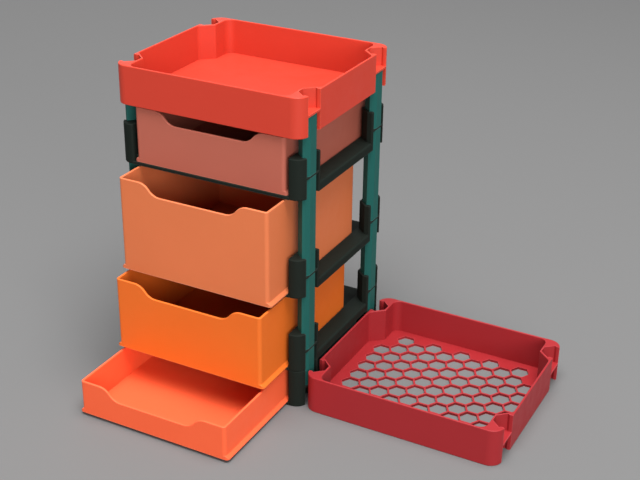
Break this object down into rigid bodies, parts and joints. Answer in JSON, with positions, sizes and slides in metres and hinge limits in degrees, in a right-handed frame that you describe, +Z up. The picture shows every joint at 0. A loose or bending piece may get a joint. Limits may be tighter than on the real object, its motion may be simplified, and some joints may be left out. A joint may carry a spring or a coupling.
{
  "type": "modular storage box",
  "caption": "Stacking storage tower of slotted frames on clip-in posts, with sliding drawers of several heights, a lift-off tray on top and a honeycomb-floored tray beside it.",
  "frame": {"origin": "middle of the tower's footprint, on the surface that it stands on", "axes": "+X to the side where the separate tray stands, -Y the way the drawers open, +Z up"},
  "size_m": [0.3004, 0.218, 0.2388],
  "materials": {
    "frame_black": "satin moulded plastic",
    "post_teal": "satin moulded plastic",
    "drawer_coral": "satin moulded plastic",
    "drawer_orange": "satin moulded plastic",
    "drawer_apricot": "satin moulded plastic",
    "drawer_salmon": "satin moulded plastic",
    "tray_red": "satin moulded plastic",
    "tray_crimson": "satin moulded plastic"
  },
  "bodies": {
    "tower": {"base_frame": "frame_black", "lower_frame": "frame_black", "middle_frame": "frame_black", "upper_frame": "frame_black", "base_post_front_left": "post_teal", "base_post_front_right": "post_teal", "base_post_back_left": "post_teal", "base_post_back_right": "post_teal", "lower_post_front_left": "post_teal", "lower_post_front_right": "post_teal", "lower_post_back_left": "post_teal", "lower_post_back_right": "post_teal", "middle_post_front_left": "post_teal", "middle_post_front_right": "post_teal", "middle_post_back_left": "post_teal", "middle_post_back_right": "post_teal", "upper_post_front_left": "post_teal", "upper_post_front_right": "post_teal", "upper_post_back_left": "post_teal", "upper_post_back_right": "post_teal"},
    "shallow_drawer_body": {"shallow_drawer": "drawer_coral"},
    "lower_drawer_body": {"lower_drawer": "drawer_orange"},
    "deep_drawer_body": {"deep_drawer": "drawer_apricot"},
    "upper_drawer_body": {"upper_drawer": "drawer_salmon"},
    "top_tray_body": {"top_tray": "tray_red"},
    "honeycomb_tray_body": {"honeycomb_tray": "tray_crimson"}
  },
  "joints": [
    {"name": "shallow_drawer_slide", "type": "slide", "parent": "tower", "child": "shallow_drawer_body", "axis": [0, -1, 0], "range_m": [-0.0825, 0.0175]},
    {"name": "lower_drawer_slide", "type": "slide", "parent": "tower", "child": "lower_drawer_body", "axis": [0, -1, 0], "range_m": [-0.0345, 0.0655]},
    {"name": "deep_drawer_slide", "type": "slide", "parent": "tower", "child": "deep_drawer_body", "axis": [0, -1, 0], "range_m": [-0.0235, 0.0765]},
    {"name": "upper_drawer_slide", "type": "slide", "parent": "tower", "child": "upper_drawer_body", "axis": [0, -1, 0], "range_m": [0, 0.1]},
    {"name": "top_tray_lift", "type": "slide", "parent": "tower", "child": "top_tray_body", "axis": [0, 0, 1], "range_m": [0, 0.06]},
    {"name": "honeycomb_tray_lift", "type": "slide", "parent": "tower", "child": "honeycomb_tray_body", "axis": [0, 0, 1], "range_m": [0, 0.06]}
  ]
}
